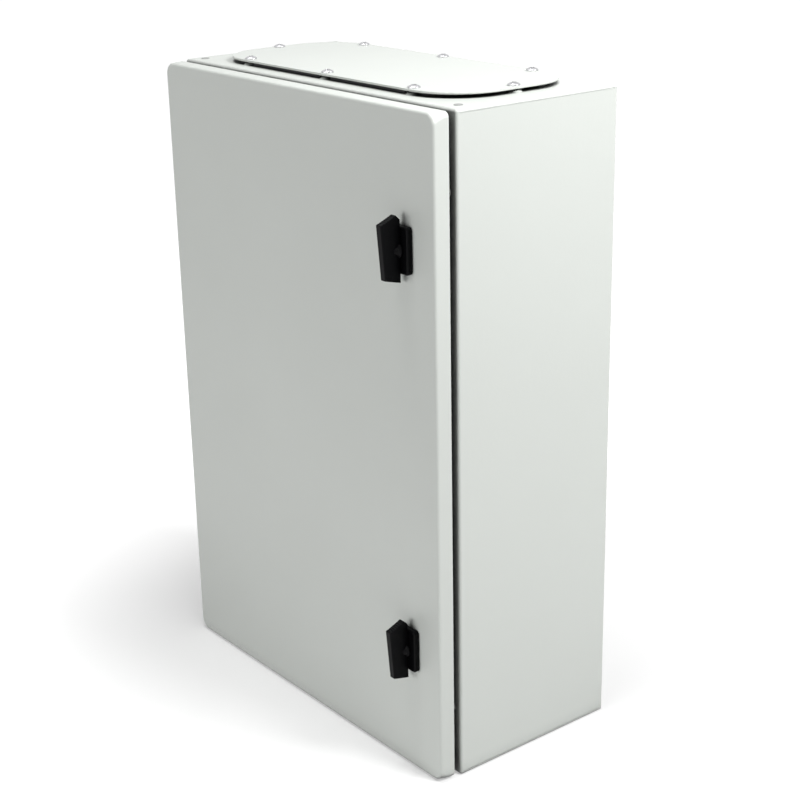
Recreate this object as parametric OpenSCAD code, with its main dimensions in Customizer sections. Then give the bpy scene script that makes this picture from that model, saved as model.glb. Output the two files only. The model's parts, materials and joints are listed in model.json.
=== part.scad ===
// Wall-mounting sheet-steel enclosure with a single door, two turn latches and a gland plate.
// Millimetres. X runs left to right, Y into the wall, Z up. The origin is the centre of the wall face.
// Pieces drawn with from_wall() are laid out as seen from the front, with their height above the wall.

/* [Body] */
// Width of the body
body_w = 400; // [340:10:600]
// Height of the body
body_h = 600; // [520:10:900]
// Depth from the wall to the front of the door
depth = 200; // [170:5:300]
// Thickness of the body sheet
body_sheet = 1.5; // [1.2:0.1:2]
// Outside radius of the body's bends
body_bend = 3; // [2.5:0.5:6]
// Width of the shoulder between the side wall and the lip
shoulder_w = 16; // [15:0.5:22]
// Height of the lip above the shoulder
lip_h = 14; // [12:0.5:15]
// Outside corner radius of the lip
lip_r = 10; // [6:1:16]

/* [Door] */
// Depth of the door's folded edge
door_t = 15.5; // [14.5:0.5:17]
// Gap between the door's edge and the shoulder
door_gap = 7; // [5.5:0.5:9]
// Thickness of the door sheet
door_sheet = 1.5; // [1.2:0.1:1.8]
// How far each edge of the door lies inside the body's outline
door_inset = 1; // [0.5:0.1:1.5]
// Corner radius of the door's edge
door_rim_r = 10; // [6:0.5:14]
// Outside radius of the door's bend
door_bend = 2.2; // [1.8:0.1:4.4]
// Width of the door gasket
gasket_w = 10; // [7:0.5:11]
// Width of each perforated door rail
rail_w = 24; // [18:1:30]
// Height of each perforated door rail
rail_h = 9; // [6:1:12]
// Distance from the door's edge to the outer side of each rail
rail_edge = 70; // [60:1:90]

/* [Hinges] */
// Distance from the body's side to the hinge axis
hinge_edge = 6.5; // [6.2:0.1:6.8]
// Distance from the front of the door to the hinge axis
hinge_front = 9.5; // [9:0.1:10]
// Distance from the body's end to the middle of each hinge
hinge_end = 67; // [60:1:120]
// Radius of the hinge pin
pin_r = 2; // [1.6:0.1:2.2]
// Length of the hinge block on the body
block_l = 24; // [20:1:32]
// Length of each knuckle of the hinge leaf
knuckle_l = 11; // [8:1:16]

/* [Latches] */
// Distance from the body's side to the latch axis
latch_edge = 40.5; // [38:0.5:50]
// Distance from the body's top to the upper latch axis
latch_top = 115.5; // [80:0.5:160]
// Distance from the body's bottom to the lower latch axis
latch_bottom = 121.5; // [80:0.5:160]
// Width of the latch plate
plate_w = 23; // [22:0.5:28]
// Height of the latch plate
plate_h = 40; // [36:1:50]
// Thickness of the latch plate
plate_t = 5; // [4:0.5:6]
// Thickness of the wing of the handle
wing_t = 6; // [5.5:0.5:9]
// How far the wing stands out from the door
wing_out = 26; // [22:0.5:36]
// Reach of the wing above the latch axis
wing_up = 30; // [27:0.5:38]
// Reach of the wing below the latch axis
wing_down = 27; // [24:0.5:32]
// Radius of the spindle
spindle_r = 5; // [4:0.5:6]
// Thickness of the cam
cam_t = 3; // [2:0.5:4]
// Width of the cam
cam_w = 16; // [12:1:20]

/* [Gland plate] */
// Distance from the body's side to the gland plate
gland_side = 24; // [20:1:40]
// Distance from the wall, and from the shoulder, to the gland plate
gland_end = 15.75; // [12:0.25:30]
// Corner radius of the gland plate
gland_r = 50; // [20:1:55]
// Thickness of the gland plate
gland_t = 2; // [1.5:0.5:3]
// Thickness of the gasket under the gland plate
gland_gasket_t = 3.2; // [2:0.1:4]
// Distance between the screws along the front and back of the gland plate
gland_pitch = 120; // [60:5:130]
// Distance from the gland plate's edge to its screws
gland_screw_in = 7; // [7:0.5:9]

/* [Mounting plate] */
// Distance from the body's side to the mounting plate
mplate_side = 30; // [28:1:60]
// Distance from the body's end to the mounting plate
mplate_end = 30; // [28:1:60]
// Thickness of the mounting plate
mplate_t = 2; // [1.5:0.5:3]
// Distance from the wall to the back of the mounting plate
mplate_stand = 20; // [16:1:40]
// Distance from the mounting plate's edge to its studs
stud_in = 20; // [18:1:40]

/* [Wall holes] */
// Distance from the body's sides and ends to the wall holes
wall_hole_in = 20; // [14:0.5:22]
// Radius of each wall hole
wall_hole_r = 4.25; // [3.25:0.25:5]

/* [Hidden] */
$fn = 48;

// Colours
paint = [0.80, 0.82, 0.79];
zinc = [0.72, 0.73, 0.72];
steel = [0.62, 0.63, 0.64];
black = [0.06, 0.06, 0.06];
foam = [0.16, 0.16, 0.16];
grey = [0.55, 0.56, 0.55];

// Running and seating clearances
play = 0.3;             // between pieces that only pass each other
run_play = 0.05;        // radial, a shaft turning in its bore
seat_play = 0.02;       // radial, a piece fixed in its bore
stack_gap = 0.05;       // between two loose pieces of one group
overlap = 0.01;         // makes a cut pass clear of the face it opens

// Heights above the wall
shoulder_z = depth - door_t - door_gap;
lip_z = shoulder_z + lip_h;
door_in_z = depth - door_sheet;

// Weld seams, ground flush, along the top and bottom of each side wall
seam_w = 0.7;
seam_deep = 0.35;

// Outlines
lip_w = body_w - 2 * shoulder_w;
lip_hh = body_h - 2 * shoulder_w;
door_w = body_w - 2 * door_inset;
door_h = body_h - 2 * door_inset;

// Hinges
hinge_x = -body_w / 2 + hinge_edge;
hinge_z = depth - hinge_front;
hinge_ys = [body_h / 2 - hinge_end, -body_h / 2 + hinge_end];
rim_play = 0.4;         // between a knuckle and the inside of the door's edge
knuckle_r = hinge_edge - door_inset - door_sheet - rim_play;
leaf_t = 2;             // foot of the hinge leaf
leaf_l = block_l + 2 * (play + knuckle_l);
leaf_foot_x = shoulder_w + body_sheet / 2 - gasket_w / 2 - hinge_edge - 0.5;
pin_head_r = pin_r + 1;
pin_head_t = 1;
notch_play = 1;         // each end of the notch in the door's edge
notch_z = hinge_z + knuckle_r + 0.9;
hinge_screw_r = 2.5;
hinge_screw_depth = 6;
hinge_screw_end = 1;    // from the screw's end to the end of its bore
hinge_head_r = 4.2;
hinge_head_t = 2.8;
hinge_foot_x = shoulder_w - hinge_edge - 1;
hinge_screw_x = hinge_foot_x / 2;
hinge_hole_x = -hinge_x - hinge_screw_x;
hinge_neck = 0.6;           // of the knuckle's radius
spare_head_r = 3.8;
spare_head_t = 1.6;

// Latches
latch_x = body_w / 2 - latch_edge;
latch_ys = [body_h / 2 - latch_top, -body_h / 2 + latch_bottom];
seal_t = 0.6;
plate_r = 3;
plate_front = depth + seal_t + plate_t;
plate_round = 1;
barrel_r = spindle_r + 3.8;
barrel_l = 12;          // from the inside of the door
latch_nut_t = 4.5;
latch_nut_r = barrel_r + 4.2;
cam_z = shoulder_z - body_sheet - 0.8;   // front of the cam
cam_tip = body_w / 2 - body_sheet - 2.5 - latch_x;
cam_hub_r = spindle_r + 5.5;
square = spindle_r * 1.35;   // side of the spindle's square end
stem_r = 2.2;               // top of the spindle, inside the handle
stem_l = 10;
hub_r = 4.4;
hub_h = 6.5;
hub_z = plate_front + play;
wing_round = 0.8;           // chamfer along the wing's edges
wing_heel = 0.87;           // corners of the wing's side view, as shares of its reach
wing_nose = 0.39;
wing_brow = 0.79;
wing_tail = 0.85;
cam_bolt_r = 2.5;
cam_washer_r = 7;
cam_washer_t = 1.2;
cam_head_r = 4.4;
cam_head_t = 3.5;
cam_bolt_l = 10;

// Gland plate, on the top
top_z = body_h / 2;
gland_w = body_w - 2 * gland_side;
gland_d = shoulder_z - 2 * gland_end;
gland_y = -shoulder_z / 2;
gland_zb = top_z + gland_gasket_t;
gland_gasket_front = 4;     // set back from the plate's front and back edges
gland_gasket_side = 20;     // set back from the plate's side edges
gland_gasket_w = 16;
gland_lip = 4;              // from the gasket's inside to the cut-out
gland_boss_play = 0.5;      // round each boss
gland_gasket_ow = gland_w - 2 * gland_gasket_side;
gland_gasket_od = gland_d - 2 * gland_gasket_front;
gland_cut_w = gland_gasket_ow - 2 * (gland_gasket_w + gland_lip);
gland_cut_d = gland_gasket_od - 2 * (gland_gasket_w + gland_lip);
gland_cut_r = 14;
boss_h = 1.8;
boss_r = 8;
boss_top_r = 5.5;
m6_r = 2.9;
m6_hole_r = 3.1;
m6_nut_r = 5.77;            // across corners
m6_nut_t = 5;
m6_head_r = 5.5;
m6_head_t = 3;
gland_screw_l = gland_t + gland_gasket_t + body_sheet + m6_nut_t + 1;
gland_screw_at = concat(
    [for (i = [-1:1], s = [-1, 1]) [i * gland_pitch, s * (gland_d / 2 - gland_screw_in)]],
    [for (s = [-1, 1]) [s * (gland_w / 2 - gland_screw_in), 0]]);
plug_r = 3.6;
plug_head_r = 4;
plug_head_t = 0.6;
plug_l = 2;                 // below the sheet
plug_in = 14;               // from the body's side and from the shoulder
plug_at = [for (s = [-1, 1]) [s * (body_w / 2 - plug_in), -shoulder_z + plug_in]];

// Mounting plate and its studs
m8_r = 3.9;
m8_hole_r = 4.5;
m8_nut_r = 7.5;
m8_nut_t = 6.5;
m8_washer_r = 8.5;
m8_washer_t = 1.6;
m8_washer_play = 0.3;       // radial, round the stud
m8_tail = 4;                // thread past the nut
stud_collar_r = 7;
mplate_w = body_w - 2 * mplate_side;
mplate_h = body_h - 2 * mplate_end;
mplate_flange = 10;
mplate_flange_in = 20;      // flange end to plate end
mplate_corner = 11.3;       // cut off each corner
mplate_front = mplate_stand + mplate_t;
stud_dx = mplate_w - 2 * stud_in;
stud_dy = mplate_h - 2 * stud_in;
stud_l = mplate_front + m8_washer_t + m8_nut_t + m8_tail;
stud_at = [for (sx = [-1, 1], sy = [-1, 1]) [sx * stud_dx / 2, sy * stud_dy / 2]];

// Wall holes
wall_dx = body_w - 2 * wall_hole_in;
wall_dy = body_h - 2 * wall_hole_in;

// Earth studs
earth_r = 2.9;
earth_l = 16;
earth_end = 30;             // from the body's bottom
earth_washer_r = 6;
earth_washer_t = 1.2;
earth_nut_r = 5.77;
earth_nut_t = 5;
door_earth_x = -body_w / 2 + 60;

// Door rails
rail_sheet = 1.2;
rail_crown = 12;
rail_end = 60;              // from the door's end
rail_hole_r = 2.25;
rail_pitch = 25;

module from_wall() {
    rotate([90, 0, 0]) children();
}

// A rectangle with round corners, centred.
module rounded(w, h, r) {
    square([w - 2 * r, h], center = true);
    square([w, h - 2 * r], center = true);
    for (sx = [-1, 1], sy = [-1, 1])
        translate([sx * (w / 2 - r), sy * (h / 2 - r)]) circle(r);
}

module ring(w, h, r, wall) {
    difference() {
        rounded(w, h, r);
        rounded(w - 2 * wall, h - 2 * wall, max(r - wall, 0.5));
    }
}

// Carries a profile round a rectangle with round corners. The profile's x is the distance from
// the centre of the corner, and its y the height.
module around(w, h, r) {
    for (sx = [-1, 1], sy = [-1, 1])
        translate([sx * (w / 2 - r), sy * (h / 2 - r), 0])
            rotate(sx > 0 ? (sy > 0 ? 0 : 270) : (sy > 0 ? 90 : 180))
                rotate_extrude(angle = 90) children();
    for (side = [[0, w, h], [90, h, w], [180, w, h], [270, h, w]])
        rotate(side[0]) translate([side[1] / 2 - r, side[2] / 2 - r, 0])
            rotate([90, 0, 0]) linear_extrude(side[2] - 2 * r) children();
}

module hexagon(r, h) {
    cylinder(r = r, h = h, $fn = 6);
}

// ---- Body ----

// Half of the bent sheet: the side wall, its bend and the start of the shoulder.
module wall_profile() {
    difference() {
        union() {
            square([body_bend, shoulder_z - body_bend]);
            translate([0, shoulder_z - body_bend]) intersection() {
                circle(body_bend);
                square(body_bend);
            }
        }
        square([body_bend - body_sheet, shoulder_z - body_bend]);
        translate([0, shoulder_z - body_bend]) circle(body_bend - body_sheet);
    }
}

module body_shell() {
    color(paint) difference() {
        union() {
            from_wall() {
                around(body_w, body_h, body_bend) wall_profile();
                translate([0, 0, shoulder_z - body_sheet]) linear_extrude(body_sheet) difference() {
                    square([body_w - 2 * body_bend, body_h - 2 * body_bend], center = true);
                    rounded(lip_w - 2 * body_sheet, lip_hh - 2 * body_sheet, lip_r - body_sheet);
                }
                translate([0, 0, shoulder_z - body_sheet]) linear_extrude(lip_h + body_sheet)
                    ring(lip_w, lip_hh, lip_r, body_sheet);
            }
            on_top() for (p = gland_screw_at)
                translate([p[0], p[1], -body_sheet / 2])
                    cylinder(r1 = boss_r, r2 = boss_top_r, h = boss_h + body_sheet / 2);
        }
        on_top() {
            translate([0, 0, -body_sheet - 1]) linear_extrude(body_sheet + 2)
                rounded(gland_cut_w, gland_cut_d, gland_cut_r);
            for (p = gland_screw_at)
                translate([p[0], p[1], -body_sheet - 1]) cylinder(r = m6_hole_r, h = body_sheet + boss_h + 2);
        }
        for (p = plug_at)
            translate([p[0], p[1], top_z - body_sheet - 1]) cylinder(r = plug_r, h = body_sheet + 2);
        from_wall() for (sx = [-1, 1], y = hinge_ys)
            translate([sx * hinge_hole_x, y, shoulder_z - body_sheet - 1])
                cylinder(r = hinge_screw_r + play / 2, h = body_sheet + 2);
        for (sx = [-1, 1], sz = [-1, 1])
            translate([sx * body_w / 2, -shoulder_z / 2, sz * (body_h / 2 - body_bend - seam_w / 2)])
                cube([2 * seam_deep, shoulder_z - 2 * body_bend, seam_w], center = true);
    }
}

module rear_panel() {
    color(paint) from_wall() linear_extrude(body_sheet) difference() {
        rounded(body_w - 2 * body_sheet, body_h - 2 * body_sheet, body_bend - body_sheet);
        for (sx = [-1, 1], sy = [-1, 1])
            translate([sx * wall_dx / 2, sy * wall_dy / 2]) circle(wall_hole_r);
    }
}

// ---- Gland plate ----

module on_top() {
    translate([0, gland_y, top_z]) children();
}

module gland_gasket() {
    color(foam) on_top() linear_extrude(gland_gasket_t) difference() {
        rounded(gland_gasket_ow, gland_gasket_od, gland_r - gland_gasket_front);
        rounded(gland_gasket_ow - 2 * gland_gasket_w, gland_gasket_od - 2 * gland_gasket_w,
            gland_r - gland_gasket_front - gland_gasket_w);
        for (p = gland_screw_at) translate(p) circle(boss_r + gland_boss_play);
    }
}

module gland_plate() {
    color(paint) translate([0, gland_y, gland_zb]) linear_extrude(gland_t) difference() {
        rounded(gland_w, gland_d, gland_r);
        for (p = gland_screw_at) translate(p) circle(m6_hole_r);
    }
}

module button_screw(shank_r, length, head_r, head_t) {
    translate([0, 0, -length]) cylinder(r = shank_r, h = length);
    difference() {
        rotate_extrude() intersection() {
            translate([0, -head_r * 1.1]) circle(head_r * 1.1 + head_t);
            square([head_r, head_t]);
        }
        translate([0, 0, head_t - 1.6]) hexagon(head_r * 0.42, 2);
    }
}

module gland_screws() {
    color(steel) for (p = gland_screw_at)
        translate([p[0], gland_y + p[1], gland_zb + gland_t])
            button_screw(m6_r, gland_screw_l, m6_head_r, m6_head_t);
}

module gland_weld_nuts() {
    color(zinc) for (p = gland_screw_at)
        translate([p[0], gland_y + p[1], top_z - body_sheet - m6_nut_t]) difference() {
            hexagon(m6_nut_r, m6_nut_t);
            translate([0, 0, -1]) cylinder(r = m6_r + seat_play, h = m6_nut_t + 2);
        }
}

module top_plugs() {
    color(grey) for (p = plug_at) translate([p[0], p[1], top_z]) {
        cylinder(r1 = plug_head_r, r2 = plug_r, h = plug_head_t);
        translate([0, 0, -body_sheet - plug_l]) cylinder(r = plug_r - seat_play, h = body_sheet + plug_l);
    }
}

// ---- Mounting plate ----

module mounting_studs() {
    color(zinc) from_wall() for (p = stud_at) translate([p[0], p[1], body_sheet]) {
        cylinder(r = stud_collar_r, h = mplate_stand - body_sheet);
        cylinder(r = m8_r, h = stud_l - body_sheet);
    }
}

module mounting_plate() {
    color(zinc) from_wall() difference() {
        union() {
            translate([0, 0, mplate_stand]) linear_extrude(mplate_t)
                square([mplate_w, mplate_h], center = true);
            for (s = [-1, 1])
                translate([s * (mplate_w - mplate_t) / 2, 0, mplate_stand - mplate_flange / 2])
                    cube([mplate_t, mplate_h - 2 * mplate_flange_in, mplate_flange], center = true);
        }
        for (p = stud_at) translate([p[0], p[1], mplate_stand - 1])
            cylinder(r = m8_hole_r, h = mplate_t + 2);
        for (sx = [-1, 1], sy = [-1, 1])
            translate([sx * mplate_w / 2, sy * mplate_h / 2, mplate_stand]) rotate(45)
                cube([mplate_corner, mplate_corner, 3 * mplate_t], center = true);
    }
}

module mounting_washers() {
    color(zinc) from_wall() for (p = stud_at) translate([p[0], p[1], mplate_front]) difference() {
        cylinder(r = m8_washer_r, h = m8_washer_t);
        translate([0, 0, -1]) cylinder(r = m8_r + m8_washer_play, h = m8_washer_t + 2);
    }
}

module mounting_nuts() {
    color(zinc) from_wall() for (p = stud_at)
        translate([p[0], p[1], mplate_front + m8_washer_t]) difference() {
            hexagon(m8_nut_r, m8_nut_t);
            translate([0, 0, -1]) cylinder(r = m8_r + seat_play, h = m8_nut_t + 2);
        }
}

// ---- Earth studs: each stands along +Z from the sheet it is welded to ----

module earth_stud() {
    cylinder(r = earth_r, h = earth_l);
}

module earth_nuts() {
    pitch = earth_washer_t + earth_nut_t - overlap + stack_gap;
    for (i = [0, 1]) translate([0, 0, i * pitch]) difference() {
        union() {
            cylinder(r = earth_washer_r, h = earth_washer_t);
            translate([0, 0, earth_washer_t - overlap]) hexagon(earth_nut_r, earth_nut_t);
        }
        translate([0, 0, -1]) cylinder(r = earth_r + seat_play, h = earth_washer_t + earth_nut_t + 2);
    }
}

module on_side_wall() {
    translate([-body_w / 2 + body_sheet, -shoulder_z / 2, -body_h / 2 + earth_end]) rotate([0, 90, 0])
        children();
}

module on_door_inside() {
    from_wall() translate([door_earth_x, -body_h / 2 + earth_end + shoulder_w, door_in_z])
        rotate([180, 0, 0]) children();
}

// ---- Hinges ----

module hinge_block(y) {
    drop = hinge_z - shoulder_z;
    color(zinc) from_wall() translate([hinge_x, y + block_l / 2, hinge_z]) rotate([90, 0, 0]) difference() {
        linear_extrude(block_l) {
            circle(knuckle_r);
            polygon([[0, 0], [0, -drop], [hinge_foot_x, -drop], [hinge_foot_x, -drop / 2],
                [knuckle_r * hinge_neck, knuckle_r * hinge_neck]]);
        }
        translate([0, 0, -1]) cylinder(r = pin_r + run_play, h = block_l + 2);
        translate([hinge_screw_x, -drop - overlap, block_l / 2]) rotate([-90, 0, 0])
            cylinder(r = hinge_screw_r + seat_play, h = hinge_screw_depth);
    }
}

module hinge_screws() {
    color(steel) from_wall() for (y = hinge_ys)
        translate([hinge_x + hinge_screw_x, y, shoulder_z - body_sheet]) {
            cylinder(r = hinge_screw_r, h = body_sheet + hinge_screw_depth - hinge_screw_end);
            translate([0, 0, -hinge_head_t]) difference() {
                cylinder(r = hinge_head_r, h = hinge_head_t);
                translate([0, 0, -1]) hexagon(hinge_head_r / 2, 1 + hinge_head_t / 2);
            }
        }
}

module hinge_leaf(y) {
    rise = door_in_z - hinge_z;
    corner = door_bend - door_sheet;
    color(zinc) from_wall() translate([hinge_x, y + leaf_l / 2, hinge_z]) rotate([90, 0, 0]) difference() {
        union() {
            for (z = [0, leaf_l - knuckle_l]) translate([0, 0, z]) linear_extrude(knuckle_l) {
                circle(knuckle_r);
                polygon([[-knuckle_r, 0], [knuckle_r, 0], [knuckle_r, rise],
                    [corner - knuckle_r, rise], [-knuckle_r, rise - corner]]);
            }
            translate([corner - knuckle_r, rise - leaf_t, 0])
                cube([knuckle_r + leaf_foot_x - corner, leaf_t, leaf_l]);
        }
        translate([0, 0, -1]) cylinder(r = pin_r + seat_play, h = leaf_l + 2);
    }
}

module hinge_pin(y) {
    color(steel) from_wall() translate([hinge_x, y + leaf_l / 2, hinge_z]) rotate([90, 0, 0]) {
        cylinder(r = pin_r, h = leaf_l + pin_head_t);
        translate([0, 0, -pin_head_t]) cylinder(r = pin_head_r, h = pin_head_t);
    }
}

// Plugs in the shoulder's hinge holes on the latch side, where the door can also be hung.
module hinge_hole_plugs() {
    color(grey) from_wall() for (y = hinge_ys)
        translate([hinge_hole_x, y, shoulder_z]) {
            cylinder(r1 = spare_head_r, r2 = spare_head_r - spare_head_t / 2, h = spare_head_t);
            translate([0, 0, -body_sheet - plug_l]) cylinder(r = hinge_screw_r, h = body_sheet + plug_l);
        }
}

// ---- Door ----

// Half of the folded edge: the face up to the bend, the bend and the straight edge.
module door_profile() {
    bend_z = depth - door_bend;
    difference() {
        union() {
            translate([0, depth - door_t]) square([door_rim_r, door_t - door_bend]);
            translate([0, bend_z]) square([door_rim_r - door_bend, door_bend]);
            translate([door_rim_r - door_bend, bend_z]) intersection() {
                circle(door_bend);
                square(door_bend);
            }
        }
        translate([0, depth - door_t]) square([door_rim_r - door_sheet, door_t - door_bend]);
        translate([0, bend_z]) square([door_rim_r - door_bend, door_bend - door_sheet]);
        translate([door_rim_r - door_bend, bend_z]) circle(door_bend - door_sheet);
    }
}

module door_skin() {
    color(paint) from_wall() difference() {
        union() {
            around(door_w, door_h, door_rim_r) door_profile();
            translate([0, 0, door_in_z]) linear_extrude(door_sheet)
                square([door_w - 2 * door_rim_r, door_h - 2 * door_rim_r], center = true);
        }
        for (y = latch_ys) translate([latch_x, y, door_in_z - 1]) cylinder(r = barrel_r + play, h = door_sheet + 2);
        for (y = hinge_ys) translate([-body_w / 2 - 1, y - block_l / 2 - notch_play, depth - door_t - 1])
            cube([hinge_edge, block_l + 2 * notch_play, notch_z - (depth - door_t) + 1]);
    }
}

module door_gasket() {
    w = lip_w - body_sheet + gasket_w;
    h = lip_hh - body_sheet + gasket_w;
    color(foam) from_wall() translate([0, 0, lip_z + play]) linear_extrude(door_in_z - lip_z - play)
        ring(w, h, lip_r + gasket_w / 2, gasket_w);
}

// A perforated top-hat rail, on the inside of the door.
module door_rail(side) {
    length = door_h - 2 * rail_end;
    holes = floor((length / rail_pitch - 1) / 2);
    x = side * (body_w / 2 - rail_edge - rail_w / 2);
    foot = (rail_w - rail_crown) / 2 + rail_sheet;
    color(zinc) from_wall() translate([x, 0, door_in_z - rail_h]) difference() {
        rotate([90, 0, 0]) translate([0, 0, -length / 2]) linear_extrude(length) {
            translate([-rail_crown / 2, 0]) square([rail_crown, rail_sheet]);
            for (s = [-1, 1]) {
                translate([s * (rail_crown - rail_sheet) / 2 - rail_sheet / 2, 0]) square([rail_sheet, rail_h]);
                translate([s * (rail_w - foot) / 2 - foot / 2, rail_h - rail_sheet]) square([foot, rail_sheet]);
            }
        }
        for (i = [-holes:holes]) translate([0, i * rail_pitch, -1]) cylinder(r = rail_hole_r, h = rail_sheet + 2);
    }
}

// ---- Latches: drawn about the latch axis, at the height above the wall ----

module at_latch(i) {
    from_wall() translate([latch_x, latch_ys[i], 0]) children();
}

module latch_seals() {
    color(foam) for (i = [0, 1]) at_latch(i) translate([0, 0, depth]) linear_extrude(seal_t) difference() {
        rounded(plate_w - 1, plate_h - 1, plate_r);
        circle(barrel_r + seat_play);
    }
}

module latch_housing(i) {
    color(black) at_latch(i) difference() {
        union() {
            translate([0, 0, depth + seal_t]) hull() {
                linear_extrude(plate_t - plate_round) rounded(plate_w, plate_h, plate_r, $fn = 32);
                linear_extrude(plate_t)
                    rounded(plate_w - 2 * plate_round, plate_h - 2 * plate_round, plate_r - plate_round, $fn = 32);
            }
            translate([0, 0, door_in_z - barrel_l])
                cylinder(r = barrel_r, h = barrel_l + door_sheet + seal_t + overlap);
        }
        translate([0, 0, door_in_z - barrel_l - 1])
            cylinder(r = spindle_r + run_play, h = plate_front - door_in_z + barrel_l + 2);
    }
}

module latch_nut(i) {
    color(zinc) at_latch(i) translate([0, 0, door_in_z - latch_nut_t]) difference() {
        hexagon(latch_nut_r, latch_nut_t);
        translate([0, 0, -1]) cylinder(r = barrel_r + seat_play, h = latch_nut_t + 2);
    }
}

// The wing's side view: x is the height along the door, y the height above the wall.
module wing_side() {
    polygon([
        [-wing_down, hub_z], [wing_up * wing_heel, hub_z], [wing_up, depth + wing_out * wing_nose],
        [wing_up * wing_brow, depth + wing_out],
        [-wing_down * wing_tail, depth + wing_out * wing_tail]]);
}

module latch_handle(i) {
    color(black) at_latch(i) difference() {
        union() {
            rotate([90, 0, 90]) hull() {
                translate([0, 0, -wing_t / 2]) linear_extrude(wing_t) offset(delta = -wing_round) wing_side();
                translate([0, 0, -wing_t / 2 + wing_round]) linear_extrude(wing_t - 2 * wing_round) wing_side();
            }
            translate([0, 0, hub_z]) cylinder(r1 = hub_r, r2 = hub_r - 1, h = hub_h);
        }
        translate([0, 0, hub_z - 1]) cylinder(r = stem_r + seat_play, h = stem_l + 1.5);
    }
}

module latch_spindle(i) {
    color(zinc) at_latch(i) difference() {
        union() {
            translate([0, 0, cam_z]) cylinder(r = spindle_r, h = hub_z - cam_z);
            translate([0, 0, hub_z - overlap]) cylinder(r = stem_r, h = stem_l);
            translate([0, 0, cam_z - cam_t / 2]) cube([square, square, cam_t + 2 * overlap], center = true);
        }
        translate([0, 0, cam_z - cam_t - 1]) cylinder(r = cam_bolt_r + seat_play, h = cam_bolt_l + 1.5);
    }
}

module latch_cam(i) {
    color(zinc) at_latch(i) translate([0, 0, cam_z - cam_t]) linear_extrude(cam_t) difference() {
        union() {
            circle(cam_hub_r);
            translate([-cam_w / 2, 0]) square([cam_w, cam_tip]);
        }
        square(square + 2 * seat_play, center = true);
    }
}

module latch_cam_bolt(i) {
    color(steel) at_latch(i) translate([0, 0, cam_z - cam_t - 2 * overlap]) {
        translate([0, 0, -overlap]) cylinder(r = cam_bolt_r, h = cam_bolt_l);
        translate([0, 0, -cam_washer_t]) cylinder(r = cam_washer_r, h = cam_washer_t);
        translate([0, 0, -cam_washer_t - cam_head_t]) hexagon(cam_head_r, cam_head_t + overlap);
    }
}

body_shell();
rear_panel();
gland_gasket();
gland_plate();
gland_screws();
gland_weld_nuts();
top_plugs();
hinge_hole_plugs();
mounting_studs();
mounting_plate();
mounting_washers();
mounting_nuts();
color(zinc) on_side_wall() earth_stud();  // body_earth_stud
color(zinc) on_side_wall() earth_nuts();  // body_earth_nuts
hinge_block(hinge_ys[0]);  // hinge_block_upper
hinge_block(hinge_ys[1]);  // hinge_block_lower
hinge_screws();
door_skin();
door_gasket();
door_rail(-1);  // door_rail_left
door_rail(1);  // door_rail_right
color(zinc) on_door_inside() earth_stud();  // door_earth_stud
color(zinc) on_door_inside() earth_nuts();  // door_earth_nuts
hinge_leaf(hinge_ys[0]);  // hinge_leaf_upper
hinge_leaf(hinge_ys[1]);  // hinge_leaf_lower
hinge_pin(hinge_ys[0]);  // hinge_pin_upper
hinge_pin(hinge_ys[1]);  // hinge_pin_lower
latch_seals();
latch_housing(0);  // latch_housing_upper
latch_housing(1);  // latch_housing_lower
latch_nut(0);  // latch_nut_upper
latch_nut(1);  // latch_nut_lower
latch_handle(0);  // latch_handle_upper
latch_spindle(0);  // latch_spindle_upper
latch_cam(0);  // latch_cam_upper
latch_cam_bolt(0);  // latch_cam_bolt_upper
latch_handle(1);  // latch_handle_lower
latch_spindle(1);  // latch_spindle_lower
latch_cam(1);  // latch_cam_lower
latch_cam_bolt(1);  // latch_cam_bolt_lower
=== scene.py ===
import json
import math

import bmesh
import bpy
from mathutils import Euler, Matrix, Vector


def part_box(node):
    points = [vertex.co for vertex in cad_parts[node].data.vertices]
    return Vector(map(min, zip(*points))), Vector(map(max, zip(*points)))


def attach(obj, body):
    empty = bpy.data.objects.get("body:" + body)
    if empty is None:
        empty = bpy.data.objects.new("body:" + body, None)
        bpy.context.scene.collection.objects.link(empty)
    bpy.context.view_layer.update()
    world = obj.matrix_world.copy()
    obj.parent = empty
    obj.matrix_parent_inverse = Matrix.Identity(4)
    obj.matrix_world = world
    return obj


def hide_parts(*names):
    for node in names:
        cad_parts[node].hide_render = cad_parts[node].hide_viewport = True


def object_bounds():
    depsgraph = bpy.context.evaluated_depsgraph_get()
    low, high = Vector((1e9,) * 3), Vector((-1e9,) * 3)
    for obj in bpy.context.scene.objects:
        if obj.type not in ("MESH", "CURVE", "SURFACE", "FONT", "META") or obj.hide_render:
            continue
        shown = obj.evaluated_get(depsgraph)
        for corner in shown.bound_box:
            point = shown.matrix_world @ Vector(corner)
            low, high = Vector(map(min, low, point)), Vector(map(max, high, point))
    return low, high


# Dressed view of a wall-mounting sheet-steel enclosure. Metres, +Z up, door towards -Y.

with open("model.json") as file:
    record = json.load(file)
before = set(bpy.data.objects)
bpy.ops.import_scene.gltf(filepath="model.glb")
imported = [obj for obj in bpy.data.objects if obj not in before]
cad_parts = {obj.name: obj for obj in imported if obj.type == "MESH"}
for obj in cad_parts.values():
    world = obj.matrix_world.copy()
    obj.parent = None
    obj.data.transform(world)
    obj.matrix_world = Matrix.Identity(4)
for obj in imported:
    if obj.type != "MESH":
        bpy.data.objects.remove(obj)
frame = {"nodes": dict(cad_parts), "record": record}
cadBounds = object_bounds()
nodes = frame["nodes"]
scene = bpy.context.scene
scene.view_settings.view_transform = "Standard"
mm = 0.001
print("frame loaded:", len(nodes), "nodes")


# effects shared by several finishes

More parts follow.
